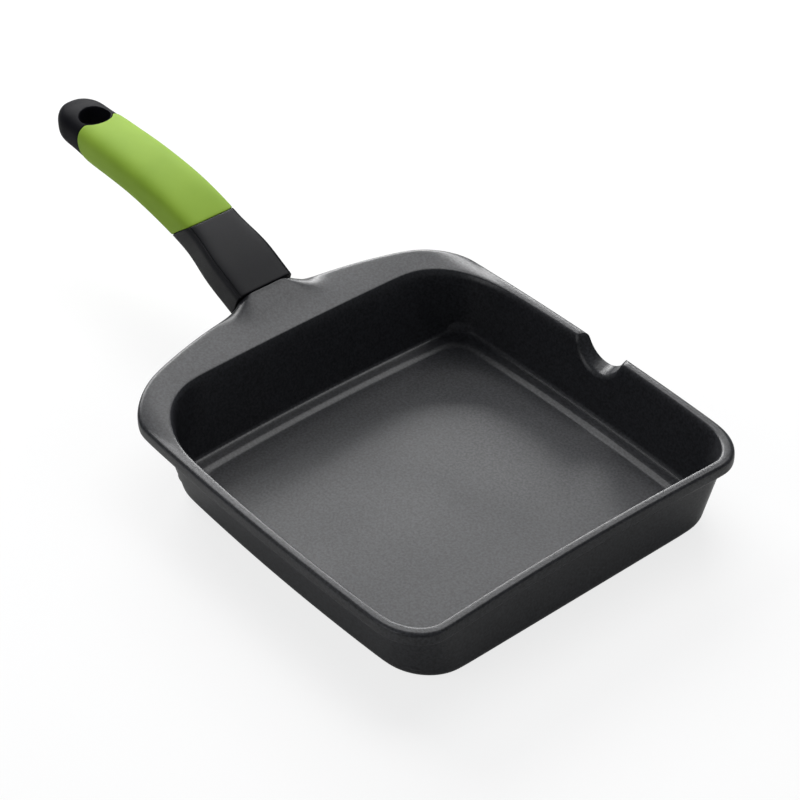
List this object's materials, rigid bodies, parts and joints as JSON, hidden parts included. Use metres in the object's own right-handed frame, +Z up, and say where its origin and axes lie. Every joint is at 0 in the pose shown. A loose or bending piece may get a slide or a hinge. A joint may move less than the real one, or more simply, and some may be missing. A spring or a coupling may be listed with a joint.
{
  "type": "griddle pan",
  "caption": "Square cast griddle pan with a pour notch in one side, a flange rising to a black handle, and a green grip sleeve ending at a hanging hole.",
  "frame": {"origin": "middle of the base's underside, on the table", "axes": "+Z up out of the pan; the handle runs out along -X; the pour notch is in the +Y side"},
  "size_m": [0.4277, 0.2212, 0.087],
  "materials": {
    "nonstick_coat": "dark grey satin non-stick coat, finely speckled, over cast aluminium",
    "base_steel": "turned ferritic steel",
    "black_phenolic": "satin moulded phenolic",
    "green_silicone": "soft matt silicone",
    "screw_steel": "zinc-plated steel"
  },
  "bodies": {
    "root": {"pan_body": "nonstick_coat", "base_plate": "base_steel", "handle_core": "black_phenolic", "grip_sleeve": "green_silicone", "handle_screw": "screw_steel", "lock_washer": "screw_steel"}
  },
  "joints": []
}
